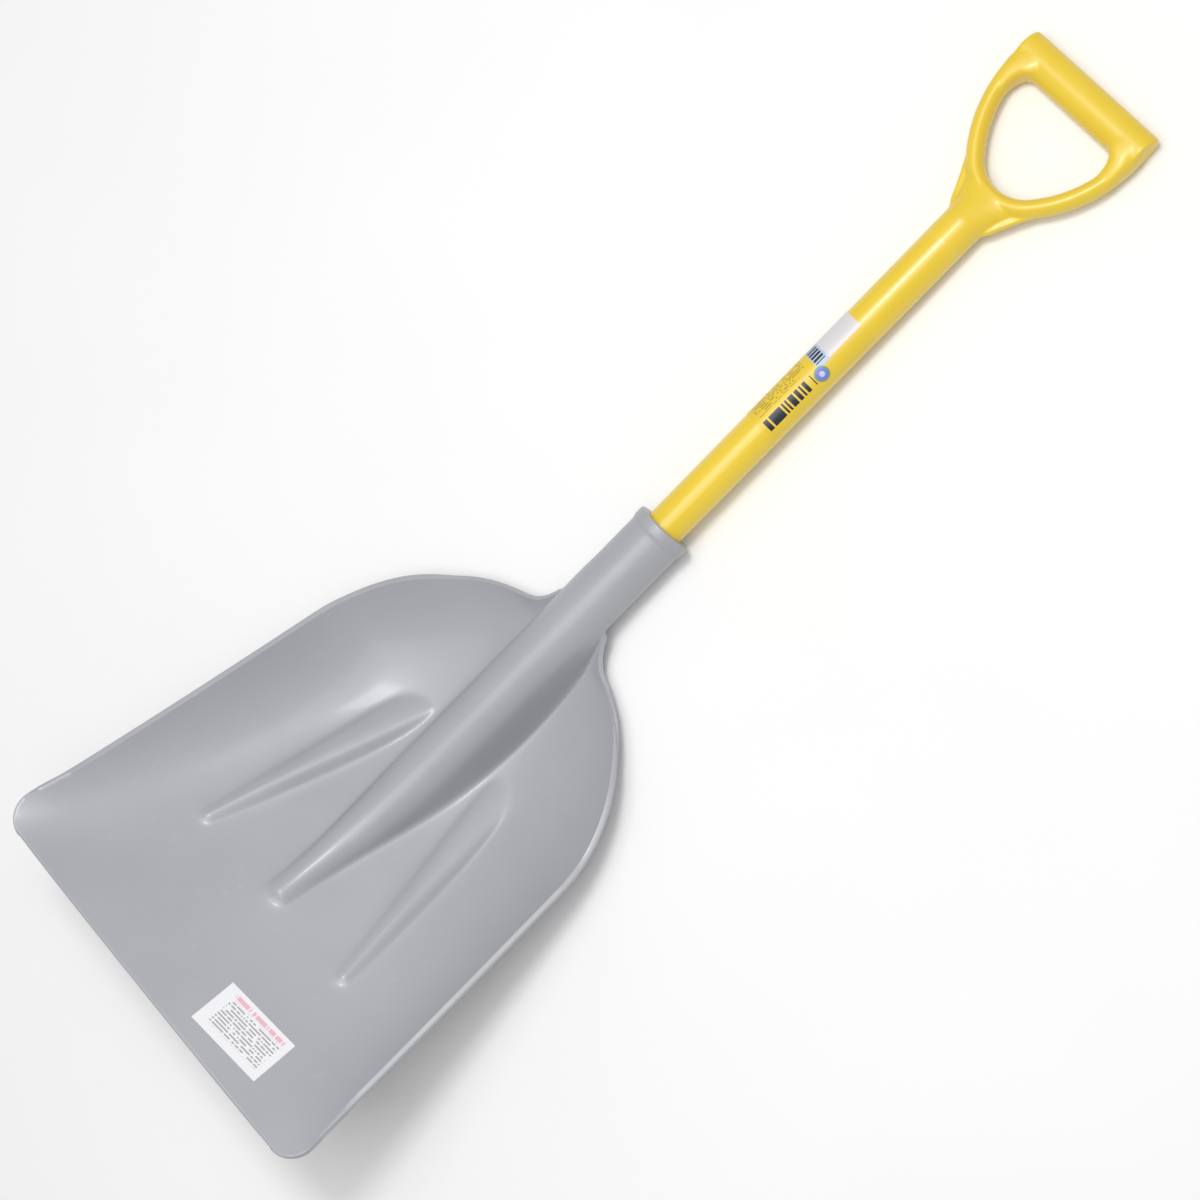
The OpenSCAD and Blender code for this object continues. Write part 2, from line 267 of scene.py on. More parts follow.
CREST_RUN = FROG_STRAIGHT_Y - FROG_TIP_Y
CREST_TOP = axis_height(FROG_STRAIGHT_Y) + SOCKET_R / math.cos(LIFT) - RIB_TIP_Z
CREST_BEND = (CREST_RUN * math.tan(LIFT) - CREST_TOP) / CREST_RUN**2
CREST_START = math.tan(LIFT) - 2 * CREST_BEND * CREST_RUN


def crest(y):
    t = np.maximum(0, y - FROG_TIP_Y)
    bent = RIB_TIP_Z + CREST_START * t + CREST_BEND * t * t - np.maximum(0, FROG_TIP_Y - y)
    return np.where(y > FROG_STRAIGHT_Y, axis_height(y) + SOCKET_R / math.cos(LIFT), bent)


def frog(x, y):
    r = FROG_TIP_R + (SOCKET_R - FROG_TIP_R) * ease((y - FROG_TIP_Y) / CREST_RUN)
    edge = r * math.sin(FLANK_ANGLE)
    away = np.abs(x)
    arc = r - np.sqrt(np.maximum(0, r * r - np.minimum(away, edge) ** 2))
    flank = np.maximum(0, away - edge) * math.tan(FLANK_ANGLE)
    return crest(y) - (arc + flank) / math.cos(LIFT)


def top_height(x, y):
    foot = FROG_FOOT[0] + (FROG_FOOT[1] - FROG_FOOT[0]) * step_over(y, FROG_FOOT_Y)
    return blend_max(ribbed(x, y), frog(x, y), foot)


def skin_normal(x, y, d=0.4):
    gx = (top_height(x + d, y) - top_height(x - d, y)) / (2 * d)
    gy = (top_height(x, y + d) - top_height(x, y - d)) / (2 * d)
    n = np.stack([-gx, -gy, np.ones_like(gx)], 1)
    return n / np.linalg.norm(n, axis=1)[:, None]


# ---------------------------------------------------------------- mesh helpers
MERGE = 2e-7
SHARP = math.radians(35)
GRIP_SHARP = math.radians(50)


def linked(name, data):
    """A new object in the scene."""
    made = bpy.data.objects.new(name, data)
    bpy.context.scene.collection.objects.link(made)
    return made


def evaluated(made):
    """A new mesh of the object with its modifiers applied."""
    bpy.context.view_layer.update()
    graph = bpy.context.evaluated_depsgraph_get()
    return bpy.data.meshes.new_from_object(made.evaluated_get(graph))


def placed_mesh(name, points, faces, place):
    """A mesh from points in millimetres in the given frame."""
    world = np.array(place)
    points = (np.asarray(points) @ world[:3, :3].T + world[:3, 3]) * MM
    mesh = bpy.data.meshes.new(name)
    mesh.from_pydata(points.tolist(), [], faces)
    clean(mesh)
    return mesh


def piece(name, points, faces, place, material, slot_name, nodes):
    """Makes a closed piece from points in millimetres, and rides it on the scoop's one body."""
    mesh = placed_mesh(name, points, faces, place)
    return finished(name, mesh, material, nodes, SHARP)


def clean(mesh):
    shape = bmesh.new()
    shape.from_mesh(mesh)
    bmesh.ops.remove_doubles(shape, verts=shape.verts, dist=MERGE)
    bmesh.ops.recalc_face_normals(shape, faces=shape.faces)
    shape.to_mesh(mesh)
    shape.free()


def finished(name, mesh, material, nodes, sharp):
    mesh.polygons.foreach_set("use_smooth", [True] * len(mesh.polygons))
    mesh.set_sharp_from_angle(angle=sharp)
    mesh.materials.clear()
    mesh.materials.append(material)
    made = linked(name, mesh)
    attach(made, "root")
    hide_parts(*nodes)
    return made


def bridge(rings, size, closed=False):
    """Quads between neighbouring rings of the same size."""
    i = np.arange(size)
    k = (i + 1) % size
    faces = []
    for j in range(rings if closed else rings - 1):
        a, b = j * size, ((j + 1) % rings) * size
        faces.append(np.stack([a + i, a + k, b + k, b + i], 1))
    return np.concatenate(faces).tolist()


def lathe(profile, sides=128):
    """Turns a row of (radius, height) points about Z. A radius of 0 closes the end."""
    turn = 2 * math.pi * np.arange(sides) / sides
    points = [np.stack([r * np.cos(turn), r * np.sin(turn), np.full(sides, z)], 1)
              for r, z in profile]
    return np.concatenate(points), bridge(len(profile), sides)


def closed_lathe(profile, sides=128):
    points, _ = lathe(profile, sides)
    return points, bridge(len(profile), sides, closed=True)


def arc_points(centre, radius, start, end, steps=5):
    """Points of a rounded corner of a lathe profile; angles in degrees from the radius axis."""
    return [(centre[0] + radius * math.cos(a), centre[1] + radius * math.sin(a))
            for a in np.radians(np.linspace(start, end, steps))]


def joined(parts):
    """One list of points and faces from several."""
    points, faces, start = [], [], 0
    for p, f in parts:
        points.append(np.asarray(p))
        faces += [[v + start for v in face] for face in f]
        start += len(p)
    return np.concatenate(points), faces


# ---------------------------------------------------------------- blade
LIP_TURNS = np.radians([0, 30, 60, 90])
LIP_POINTS = 2 * len(LIP_TURNS)
FROG_REACH = 34.0
RIB_MARGIN = 7.0


def blade_rows():
    """Distances from the front edge, closer together where the outline bends."""
    rounding = FRONT_ROUND * (1 - np.cos(np.radians([0, 25, 45, 65, 80])))
    corner = CORNER_R * (1 - np.cos(np.radians(np.arange(24, 90, 6))))
    side = np.linspace(CORNER_R, SIDE_END_Y, 124)
    back = SIDE_END_Y + (NECK_START_Y - SIDE_END_Y) * np.sin(np.radians(np.linspace(0.8, 90, 96)))
    neck = np.linspace(NECK_START_Y, NECK_Y, 24)[1:]
    return np.concatenate([rounding, corner, side, back, neck])


def blade_columns(y, edge):
    """Distances from the centre line, closer together over the frog, the rib and the rim."""
    run = np.subtract(RIB_END, RIB_TIP)
    frog_x = min(FROG_REACH, 0.8 * edge)
    rib_x = min(RIB_TIP[0] + (y - RIB_TIP[1]) * run[0] / run[1], frog_x + 0.45 * (edge - frog_x))
    reach = rib_half(min(1, max(0, (y - RIB_TIP[1]) / run[1]))) + RIB_MARGIN
    inner, outer = min(reach, 0.85 * (rib_x - frog_x)), min(reach, 0.4 * (edge - rib_x))
    stops = [0, frog_x, rib_x - inner, rib_x, rib_x + outer, edge]
    counts = [24, 6, 13, 13, 28]
    xs = [np.linspace(a, c, n, endpoint=False) for a, c, n in zip(stops, stops[1:], counts)]
    return np.concatenate(xs + [[edge]])


def lip_arc(top, low, normal, width, side):
    """The rounded outer face of the lip, from the upper skin's last point to the lower one's."""
    out = np.array([side * normal[0], normal[1], 0])
    up = np.array([0, 0, 1])
    r = min(LIP_ROUND, width, (top[2] - low[2]) / 2)
    steps = [(out * (width - r + r * math.sin(a)), up * r * (1 - math.cos(a))) for a in LIP_TURNS]
    above = [top + across - down for across, down in steps]
    below = [low + across + down for across, down in steps]
    return above + below[::-1]


def blade_ring(y):
    """A closed section of the wall: upper skin, right lip, lower skin and left lip."""
    normal, share = edge_normal(y), lip_share(y)
    width = LIP_THIN + (LIP_W - LIP_THIN) * share
    edge = half_width(y) - width * normal[0]
    half = blade_columns(y, edge)
    x = np.concatenate([-half[:0:-1], half])
    along = y - width * normal[1] * (x / edge) ** 2
    top = np.stack([x, along, top_height(x, along)], 1)
    away = skin_normal(x, along)
    near_rim = share * ease(1 - (edge - np.abs(x)) / RIM_BAND)[:, None]
    thick = WALL * away * (1 - near_rim) + np.array([0, 0, LIP_H]) * near_rim
    pull = 0
    if y < FRONT_ROUND:
        pull = FRONT_ROUND - math.sqrt(FRONT_ROUND**2 - (FRONT_ROUND - y) ** 2)
    low = top - thick + pull * away
    top = top - pull * away
    right = lip_arc(top[-1], low[-1], normal, width, 1)
    left = lip_arc(top[0], low[0], normal, width, -1)
    return np.concatenate([top, right, low[::-1], left[::-1]])


def tube_rings(last):
    """Rings that carry the blade's skin on along the socket and sink it into the tube."""
    origin, along = np.array([0, AXIS_Y, AXIS_Z]), np.array([0, math.cos(LIFT), math.sin(LIFT)])
    from_axis = last - origin
    s = from_axis @ along
    spoke = from_axis - s[:, None] * along
    radius = np.linalg.norm(spoke, axis=1)
    rings = []
    for step in np.linspace(0, 1, 16)[1:]:
        sunk = np.where(radius > SKIN_OUTER_R, SOCKET_R - SKIN_SINK * step**4, radius)
        new = radius + (sunk - radius) * ease(step)
        forward = (s + SKIN_RUN * step)[:, None] * along
        rings.append(origin + forward + spoke * (new / radius)[:, None])
    return rings


def blade_shell():
    rings = [blade_ring(float(y)) for y in blade_rows()]
    rings += tube_rings(rings[-1])
    size = len(rings[0])
    across = size // 2 - LIP_POINTS - 1
    partner = 2 * across + LIP_POINTS + 1
    half_lip = LIP_POINTS // 2
    faces = bridge(len(rings), size)
    for start in (0, (len(rings) - 1) * size):
        for i in range(-half_lip, across + half_lip):
            corners = (i, i + 1, partner - i - 1, partner - i)
            faces.append([start + c % size for c in corners])
    return np.concatenate(rings), faces


def socket_tube():
    r, end, bore_r = SOCKET_R - SOCKET_INSET, HOLE_END_S - SOCKET_END_T, SHAFT_R + BORE_GAP
    flare_s = MOUTH_S - BAND_LEN - FLARE_LEN + FLARE_OVERLAP
    closed_end = [(0, end), (r - END_CHAMFER, end), (r, end + END_CHAMFER)]
    straight = [(r, s) for s in np.linspace(0, flare_s - FLARE_LEAD, 12)]
    flare = [(r + (BAND_R - r) * float(ease(t)), flare_s + FLARE_LEN * t)
             for t in np.linspace(0, 1, 8)]
    mouth = arc_points((BAND_R - BAND_ROUND, MOUTH_S - BAND_ROUND), BAND_ROUND, 0, 90)
    bore = [(SHAFT_R + MOUTH_CHAMFER[0], MOUTH_S), (bore_r, MOUTH_S - MOUTH_CHAMFER[1]),
            (bore_r, HOLE_END_S), (0, HOLE_END_S)]
    return lathe(closed_end + straight + flare + mouth + bore)


def with_seats(made, seats):
    """Cuts the flat round seats that the screw heads sit in, on the underside."""
    for s, outer in seats:
        r = HEAD_R + SEAT_GAP
        points, faces = lathe([(0, 0), (r, 0), (r, SEAT_CUT_H), (0, SEAT_CUT_H)], sides=48)
        turn = SHAFT_FRAME @ Matrix.Translation((0, 0, s)) @ Matrix.Rotation(-math.pi / 2, 4, "X")
        place = turn @ Matrix.Translation((0, 0, outer - SEAT_DEPTH))
        cutter = linked("seat", placed_mesh("seat", points, faces, place))
        cut = made.modifiers.new("seat", "BOOLEAN")
        cut.operation, cut.solver, cut.object = "DIFFERENCE", "EXACT", cutter
        result = evaluated(made)
        made.modifiers.clear()
        made.data = result
        bpy.data.objects.remove(cutter)
    made.data.set_sharp_from_angle(angle=SHARP)


# ---------------------------------------------------------------- shaft
def shaft_radius(s):
    return SHAFT_R + (SHAFT_GRIP_R - SHAFT_R) * np.maximum(0, s - MOUTH_S) / SHAFT_LEN


def sleeve_tube():
    outer = [(shaft_radius(s), s) for s in np.linspace(HOLE_END_S + 1, JOINT_S, 60)]
    return closed_lathe(outer + [(CORE_R, JOINT_S), (CORE_R, HOLE_END_S + 1)])


# ---------------------------------------------------------------- grip
def unit(a):
    """The direction at an angle in degrees."""
    return np.array([math.cos(math.radians(a)), math.sin(math.radians(a))])


SIDE_C = np.array([0, THROAT_Z]) + (THROAT_R - SIDE_R) * unit(THROAT_END)
HOLE_CORNER_C = SIDE_C + (SIDE_R - HOLE_CORNER_R) * unit(SIDE_END)


def right_point(a, extra):
    """The same as hole_point, for the right half, where a runs from -90 to 90."""
    if a < THROAT_END:
        return np.array([0, THROAT_Z]) + (THROAT_R + extra) * unit(a)
    if a < SIDE_END:
        return SIDE_C + (SIDE_R + extra) * unit(a)
    return HOLE_CORNER_C + (HOLE_CORNER_R + extra) * unit(a)


def hole_point(a, extra):
    """A point outside the hand opening's outline, at outward normal a, measured from +X."""
    if 90 < a < 270:
        p = right_point(180 - a, extra)
        return np.array([-p[0], p[1]])
    return right_point(a - 360 if a > 180 else a, extra)


def arm_ring(turns=180, sides=32):
    """The oval ring round the hand opening, which holds both arms."""
    points = []
    for i in range(turns):
        a = 360 * (i + 0.5) / turns
        for k in range(sides):
            b = 2 * math.pi * k / sides
            p = hole_point(a, ARM_W / 2 * (1 + math.cos(b)))
            points.append([p[0], ARM_T / 2 * math.sin(b), p[1]])
    return points, bridge(turns, sides, closed=True)


def web():
    """The flat web between the neck and the arms, bounded inside by the hand opening."""
    outer = WEB_SIDE
    inner = [hole_point(a, WEB_OVERLAP) for a in np.linspace(270, 340, len(outer))]
    points, faces, half = [], [], WEB_T / 2
    for side in (1, -1):
        start = len(points)
        for (x, z), (u, w) in zip(outer, inner):
            for px, pz in ((x, z), (u, w)):
                points += [[side * px, -half, pz], [side * px, half, pz]]
        for k in range(len(outer) - 1):
            a, b = start + 4 * k, start + 4 * k + 4
            faces += [[a, a + 2, b + 2, b], [a + 1, b + 1, b + 3, a + 3],
                      [a, b, b + 1, a + 1], [a + 2, a + 3, b + 3, b + 2]]
        end = start + 4 * (len(outer) - 1)
        faces += [[start, start + 1, start + 3, start + 2], [end, end + 2, end + 3, end + 1]]
    return points, faces


def hand_bar(sides=64):
    """The oval bar across the top, with rounded ends."""
    turns = np.radians(np.linspace(0, 90, 7))
    steps = [(-GRIP_W / 2 + BAR_END * (1 - math.cos(a)), BAR_END * (1 - math.sin(a))) for a in turns]
    steps += [(-x, inset) for x, inset in steps[::-1]]
    points = []
    for x, inset in steps:
        for k in range(sides):
            a = 2 * math.pi * k / sides
            points.append([x, (BAR_HALF_T - inset) * math.cos(a),
                           BAR_REACH + (BAR_HALF_H - inset) * math.sin(a)])
    faces = bridge(len(steps), sides)
    last = (len(steps) - 1) * sides
    return points, faces + [list(range(sides)), list(range(last, last + sides))]


def oval_loft(rows, sides=64, power=2.0):
    """Ovals along Z through rows of height, centre x, half width and half thickness."""
    turn = 2 * math.pi * np.arange(sides) / sides
    c, s = np.cos(turn), np.sin(turn)
    c = np.sign(c) * np.abs(c) ** (2 / power)
    s = np.sign(s) * np.abs(s) ** (2 / power)
    rings = [np.stack([x + a * c, b * s, np.full(sides, z)], 1) for z, x, a, b in rows]
    last = (len(rows) - 1) * sides
    caps = [list(range(sides)), list(range(last, last + sides))]
    return np.concatenate(rings), bridge(len(rows), sides) + caps


def neck():
    """The round neck, which spreads and flattens into the two arms."""
    r = SHAFT_GRIP_R
    return oval_loft([(-8, 0, r, r), (8, 0, r, r), (14, 0, r, r),
                      (20, 0, 17.8, 17.2), (25, 0, 18.1, 16.5), (30, 0, 18.8, 15.6),
                      (35, 0, 19.9, 14.4), (40, 0, 21.5, 13.2), (44, 0, 23.3, 12.3),
                      (48, 0, 25.5, 11.5), (52, 0, 27.8, 10.9), (56, 0, 30, 10.4)], sides=96)


def shoulder(side):
    """The end of an arm, thickening into the hand bar."""
    rows = [(116, 59.2, 6.5, 9), (121, 60.2, 7.4, 10), (126, 60.6, 7.9, 11.2), (132, 60.4, 8.7, 12.4),
            (138, 59.2, 10.5, 13.3), (142, 56.5, 13.8, 13.7), (146, 54.9, 15.3, 13.9),
            (150, 54.2, 15.9, 14), (155, 53.6, 15.9, 14)]
    return oval_loft([(z, side * x, a, b) for z, x, a, b in rows], power=3.0)


def remeshed(parts):
    """One skin round overlapping solids, with its inner corners smoothed into fillets."""
    solids = []
    for points, faces in parts:
        mesh = bpy.data.meshes.new("solid")
        mesh.from_pydata((np.asarray(points) * MM).tolist(), [], faces)
        clean(mesh)
        solids.append(([v.co[:] for v in mesh.vertices], [list(p.vertices) for p in mesh.polygons]))
        bpy.data.meshes.remove(mesh)
    points, faces = joined(solids)
    mesh = bpy.data.meshes.new("grip_solids")
    mesh.from_pydata(points.tolist(), [], faces)
    rough = linked("grip_solids", mesh)
    voxels = rough.modifiers.new("voxels", "REMESH")
    voxels.mode, voxels.voxel_size = "VOXEL", VOXEL * MM
    soft = rough.modifiers.new("soft", "SMOOTH")
    soft.factor, soft.iterations = 0.5, SMOOTHING
    result = evaluated(rough)
    bpy.data.objects.remove(rough)
    return result


def round_neck(shape):
    """Brings the lower end of the neck back to the sleeve's radius after the smoothing."""
    radius = SHAFT_GRIP_R * MM
    for v in shape.verts:
        share = 1 - float(step_over(v.co.z / MM, NECK_ROUND_Z))
        reach = math.hypot(v.co.x, v.co.y)
        if share > 0 and reach > 0.7 * radius:
            grow = 1 + share * (radius / reach - 1)
            v.co.x, v.co.y = v.co.x * grow, v.co.y * grow


def cut_flat(shape):
    """Cuts the neck off flat where it meets the sleeve, and closes it."""
    cut = bmesh.ops.bisect_plane(
        shape, geom=shape.verts[:] + shape.edges[:] + shape.faces[:], dist=1e-6,
        plane_co=(0, 0, 0), plane_no=(0, 0, 1), clear_inner=True,
    )
    edges = [g for g in cut["geom_cut"] if isinstance(g, bmesh.types.BMEdge)]
    bmesh.ops.contextual_create(shape, geom=edges)


def add_spigot(shape):
    """Adds the round spigot that enters the sleeve, starting just inside the neck."""
    points, faces = lathe([(0, -SPIGOT_LEN), (CORE_R - END_CHAMFER, -SPIGOT_LEN),
                           (CORE_R, END_CHAMFER - SPIGOT_LEN), (CORE_R, SPIGOT_SINK),
                           (0, SPIGOT_SINK)], sides=96)
    made = [shape.verts.new(p * MM) for p in points]
    for f in faces:
        corners = []
        for v in f:
            if made[v] not in corners:
                corners.append(made[v])
        shape.faces.new(corners)


def grip_mesh():
    mesh = remeshed([neck(), web(), arm_ring(), hand_bar(), shoulder(1), shoulder(-1)])
    shape = bmesh.new()
    shape.from_mesh(mesh)
    round_neck(shape)
    cut_flat(shape)
    add_spigot(shape)
    place = GRIP_FRAME.copy()
    place.translation = place.translation * MM
    bmesh.ops.remove_doubles(shape, verts=shape.verts, dist=MERGE)
    bmesh.ops.recalc_face_normals(shape, faces=shape.faces)
    bmesh.ops.transform(shape, matrix=place, verts=shape.verts)
    shape.to_mesh(mesh)
    shape.free()
    mesh.name = "d_grip_skin"
    return mesh


# ---------------------------------------------------------------- labels
def sheet_piece(name, above, below, uv, place, material, slot_name, node):
    """A thin closed sheet from two grids of points, with UVs running from 0 to 1 over it."""
    rows, cols = above.shape[:2]
    points = np.concatenate([above.reshape(-1, 3), below.reshape(-1, 3)])
    at = np.arange(rows * cols).reshape(rows, cols)
    a, b, c, d = at[:-1, :-1], at[1:, :-1], at[1:, 1:], at[:-1, 1:]
    top = np.stack([a, b, c, d], -1).reshape(-1, 4)
    faces = top.tolist() + (top[:, ::-1] + rows * cols).tolist()
    rim = np.concatenate([at[0, :-1], at[:-1, -1], at[-1, :0:-1], at[:0:-1, 0]])
    after = np.roll(rim, -1)
    faces += np.stack([rim, after, after + rows * cols, rim + rows * cols], 1).tolist()
    made = piece(name, points, faces, place, material, slot_name, [node])
    flat = np.concatenate([uv.reshape(-1, 2)] * 2)
    layer = made.data.uv_layers.new(name="print")
    loops = np.array([loop.vertex_index for loop in made.data.loops])
    layer.data.foreach_set("uv", flat[loops].astype(np.float32).ravel())
    return made


def shaft_label(material):
    along, turn = np.linspace(0, 1, 30), np.linspace(0, 1, 60)
    u, v = np.meshgrid(along, turn, indexing="ij")
    s = SHAFT_LABEL_S[0] + (SHAFT_LABEL_S[1] - SHAFT_LABEL_S[0]) * u
    a = np.radians(SHAFT_LABEL_ARC[0] + SHAFT_LABEL_ARC[1] * v)

    def skin(lift_off):
        r = shaft_radius(s) + lift_off
        return np.stack([r * np.cos(a), r * np.sin(a), s], -1)

    return sheet_piece("printed_shaft_label", skin(LABEL_T), skin(-LABEL_SINK), np.stack([u, v], -1),
                       SHAFT_FRAME, material, "shaft_label", "shaft_label")


def blade_label(material):
    u, v = np.meshgrid(np.linspace(0, 1, 40), np.linspace(0, 1, 24), indexing="ij")
    a, b = BLADE_LABEL_SIZE[0] * (u - 0.5), BLADE_LABEL_SIZE[1] * (v - 0.5)
    c, s = math.cos(BLADE_LABEL_TURN), math.sin(BLADE_LABEL_TURN)
    x = (BLADE_LABEL_C[0] + c * a - s * b).ravel()
    y = (BLADE_LABEL_C[1] + s * a + c * b).ravel()
    under = np.stack([x, y, top_height(x, y)], 1)
    away = skin_normal(x, y)
    above = (under + LABEL_T * away).reshape(*u.shape, 3)
    below = (under - LABEL_SINK * away).reshape(*u.shape, 3)
    return sheet_piece("printed_blade_label", above, below, np.stack([u, v], -1),
                       BLADE_FRAME, material, "blade_label", "blade_label")


# ---------------------------------------------------------------- materials
class Shader:
    """A material with a Principled shader, and short ways to add nodes to it."""

    def __init__(self, name, **sockets):
        self.material = bpy.data.materials.new(name)
        self.material.use_nodes = True
        self.tree = self.material.node_tree
        self.main = self.tree.nodes["Principled BSDF"]
        for key, value in sockets.items():
            self.main.inputs[key.replace("_", " ")].default_value = value

    def node(self, kind, inputs=(), **settings):
        made = self.tree.nodes.new("ShaderNode" + kind)
        for key, value in settings.items():
            setattr(made, key, value)
        for key, value in dict(inputs).items():
            self.put(made.inputs[key], value)
        return made

    def put(self, socket, value):
        if isinstance(value, bpy.types.NodeSocket):
            self.tree.links.new(value, socket)
        else:
            socket.default_value = value

    def calc(self, operation, a, b=0.0):
        return self.node("Math", {0: a, 1: b}, operation=operation).outputs[0]

    def times(self, a, b):
        return self.calc("MULTIPLY", a, b)

    def place(self, scale=(1, 1, 1)):
        where = self.node("TexCoord").outputs["Object"]
        return self.node("Mapping", {"Vector": where, "Scale": scale}).outputs[0]

    def noise(self, scale, detail=2.0, stretch=(1, 1, 1), rough=0.5):
        made = self.node("TexNoise", {"Vector": self.place(stretch), "Scale": scale,
                                      "Detail": detail, "Roughness": rough})
        return made.outputs[0]

    def spread(self, value, low, high, out_low=0.0, out_high=1.0):
        made = self.node("MapRange", {"Value": value, "From Min": low, "From Max": high,
                                      "To Min": out_low, "To Max": out_high})
        return made.outputs[0]

    def mix(self, share, a, b):
        made = self.node("Mix", data_type="RGBA")
        self.put(made.inputs["Factor"], share)
        self.put(made.inputs[6], a)
        self.put(made.inputs[7], b)
        return made.outputs[2]

    def bump(self, layers):
        """Bumps one over the other, each (height, strength, distance in metres)."""
        normal = None
        for height, strength, distance in layers:
            made = self.node("Bump", {"Height": height, "Strength": strength, "Distance": distance})
            if normal is not None:
                self.put(made.inputs["Normal"], normal)
            normal = made.outputs[0]
        self.put(self.main.inputs["Normal"], normal)

    def edges(self, low=0.52, high=0.6):
        """1 on sharp outer edges, 0 on flat ground and in hollows."""
        return self.spread(self.node("NewGeometry").outputs["Pointiness"], low, high)


def rgb(r, g, b):
    return (r, g, b, 1.0)


def grey_moulding():
    m = Shader("grey_moulding", Coat_Roughness=0.12, Coat_Weight=0.15)
    cloud = m.noise(7, 3)
    base = m.mix(m.spread(cloud, 0.3, 0.7), rgb(0.36, 0.365, 0.395), rgb(0.40, 0.405, 0.43))
    speck = m.spread(m.noise(1500, 1), 0.35, 0.75)
    base = m.mix(m.times(speck, 0.12), base, rgb(0.46, 0.465, 0.48))
    scratch = m.noise(160, 2, (1, 0.05, 1))
    scratch = m.spread(scratch, 0.66, 0.74)
    base = m.mix(m.times(scratch, 0.10), base, rgb(0.55, 0.555, 0.57))
    worn = m.times(m.edges(), m.spread(m.noise(60, 4), 0.3, 0.7))
    base = m.mix(m.times(worn, 0.3), base, rgb(0.50, 0.50, 0.51))
    m.put(m.main.inputs["Base Color"], base)
    rough = m.spread(m.noise(22, 4), 0.3, 0.7, 0.36, 0.43)
    rough = m.calc("ADD", rough, m.times(scratch, 0.08))
    m.put(m.main.inputs["Roughness"], rough)
    m.bump([(m.noise(28, 2), 0.10, 0.0012), (m.noise(900, 3), 0.12, 0.00012),
            (scratch, 0.05, 0.00008)])
    return m.material


def yellow_plastic(name, rough_low, rough_high, along):
    m = Shader(name, Coat_Weight=0.25, Coat_Roughness=0.18)
    cloud = m.noise(9, 3)
    base = m.mix(m.spread(cloud, 0.3, 0.7), rgb(0.80, 0.565, 0.036), rgb(0.84, 0.60, 0.044))
    lines = m.noise(220, 3, (1, along, 1))
    base = m.mix(m.times(m.spread(lines, 0.4, 0.8), 0.10), base, rgb(0.9, 0.7, 0.12))
    worn = m.times(m.edges(0.53, 0.62), m.spread(m.noise(80, 4), 0.35, 0.7))
    base = m.mix(m.times(worn, 0.35), base, rgb(0.93, 0.78, 0.25))
    m.put(m.main.inputs["Base Color"], base)
    m.put(m.main.inputs["Roughness"], m.spread(m.noise(35, 4), 0.3, 0.7, rough_low, rough_high))
    m.bump([(m.noise(40, 2), 0.06, 0.0008), (lines, 0.08, 0.0001), (m.noise(1300, 2), 0.08, 0.00008)])
    return m.material


def timber():
    m = Shader("timber_core")
    grain = m.noise(90, 5, (1, 0.04, 1), 0.6)
    base = m.mix(m.spread(grain, 0.3, 0.7), rgb(0.48, 0.31, 0.16), rgb(0.66, 0.47, 0.28))
    m.put(m.main.inputs["Base Color"], base)
    m.put(m.main.inputs["Roughness"], m.spread(grain, 0.3, 0.7, 0.55, 0.75))
    m.bump([(grain, 0.3, 0.0004)])
    return m.material


def zinc():
    m = Shader("zinc_screw", Metallic=1.0)
    dull = m.noise(600, 4)
    base = m.mix(m.spread(dull, 0.3, 0.7), rgb(0.50, 0.51, 0.53), rgb(0.72, 0.73, 0.74))
    m.put(m.main.inputs["Base Color"], base)
    m.put(m.main.inputs["Roughness"], m.spread(m.noise(1800, 3), 0.3, 0.7, 0.25, 0.45))
    m.bump([(m.noise(2500, 2), 0.15, 0.00006)])
    return m.material


class Print(Shader):
    """Paper printed with plain blocks, laid out in millimetres over the label."""

    def __init__(self, name, size, origin, **sockets):
        super().__init__(name, **sockets)
        where = self.node("UVMap", uv_map="print").outputs[0]
        flat = self.node("SeparateXYZ", {0: where})
        self.x = self.calc("ADD", self.times(flat.outputs[0], size[0]), origin[0])
        self.y = self.calc("ADD", self.times(flat.outputs[1], size[1]), origin[1])

    def near(self, value, low, high):
        away = self.calc("ABSOLUTE", self.calc("SUBTRACT", value, (low + high) / 2))
        return self.calc("LESS_THAN", away, (high - low) / 2)

    def block(self, x0, x1, y0, y1):
        return self.times(self.near(self.x, x0, x1), self.near(self.y, y0, y1))

    def rows(self, step, ink):
        """1 on evenly spaced rows that each take the given share of the step."""
        share = self.calc("FRACT", self.calc("DIVIDE", self.y, step))
        return self.calc("LESS_THAN", share, ink)

    def words(self, step, row, ink):
        """1 on runs of ink whose gaps differ from row to row."""
        across = self.calc("FLOOR", self.calc("DIVIDE", self.y, row))
        along = self.calc("FLOOR", self.calc("DIVIDE", self.x, step))
        place = self.node("CombineXYZ", {0: along, 1: across})
        chance = self.node("TexWhiteNoise", {"Vector": place.outputs[0]}).outputs["Value"]
        return self.calc("LESS_THAN", chance, ink)

    def paper(self, base):
        fibre = self.noise(1200, 3)
        base = self.mix(self.times(self.spread(fibre, 0.4, 0.8), 0.06), base,
                        rgb(0.6, 0.6, 0.58))
        self.put(self.main.inputs["Base Color"], base)
        self.put(self.main.inputs["Roughness"], self.spread(fibre, 0.3, 0.7, 0.38, 0.5))
        self.bump([(self.noise(60, 3), 0.08, 0.0005), (fibre, 0.06, 0.00005)])
        return self.material


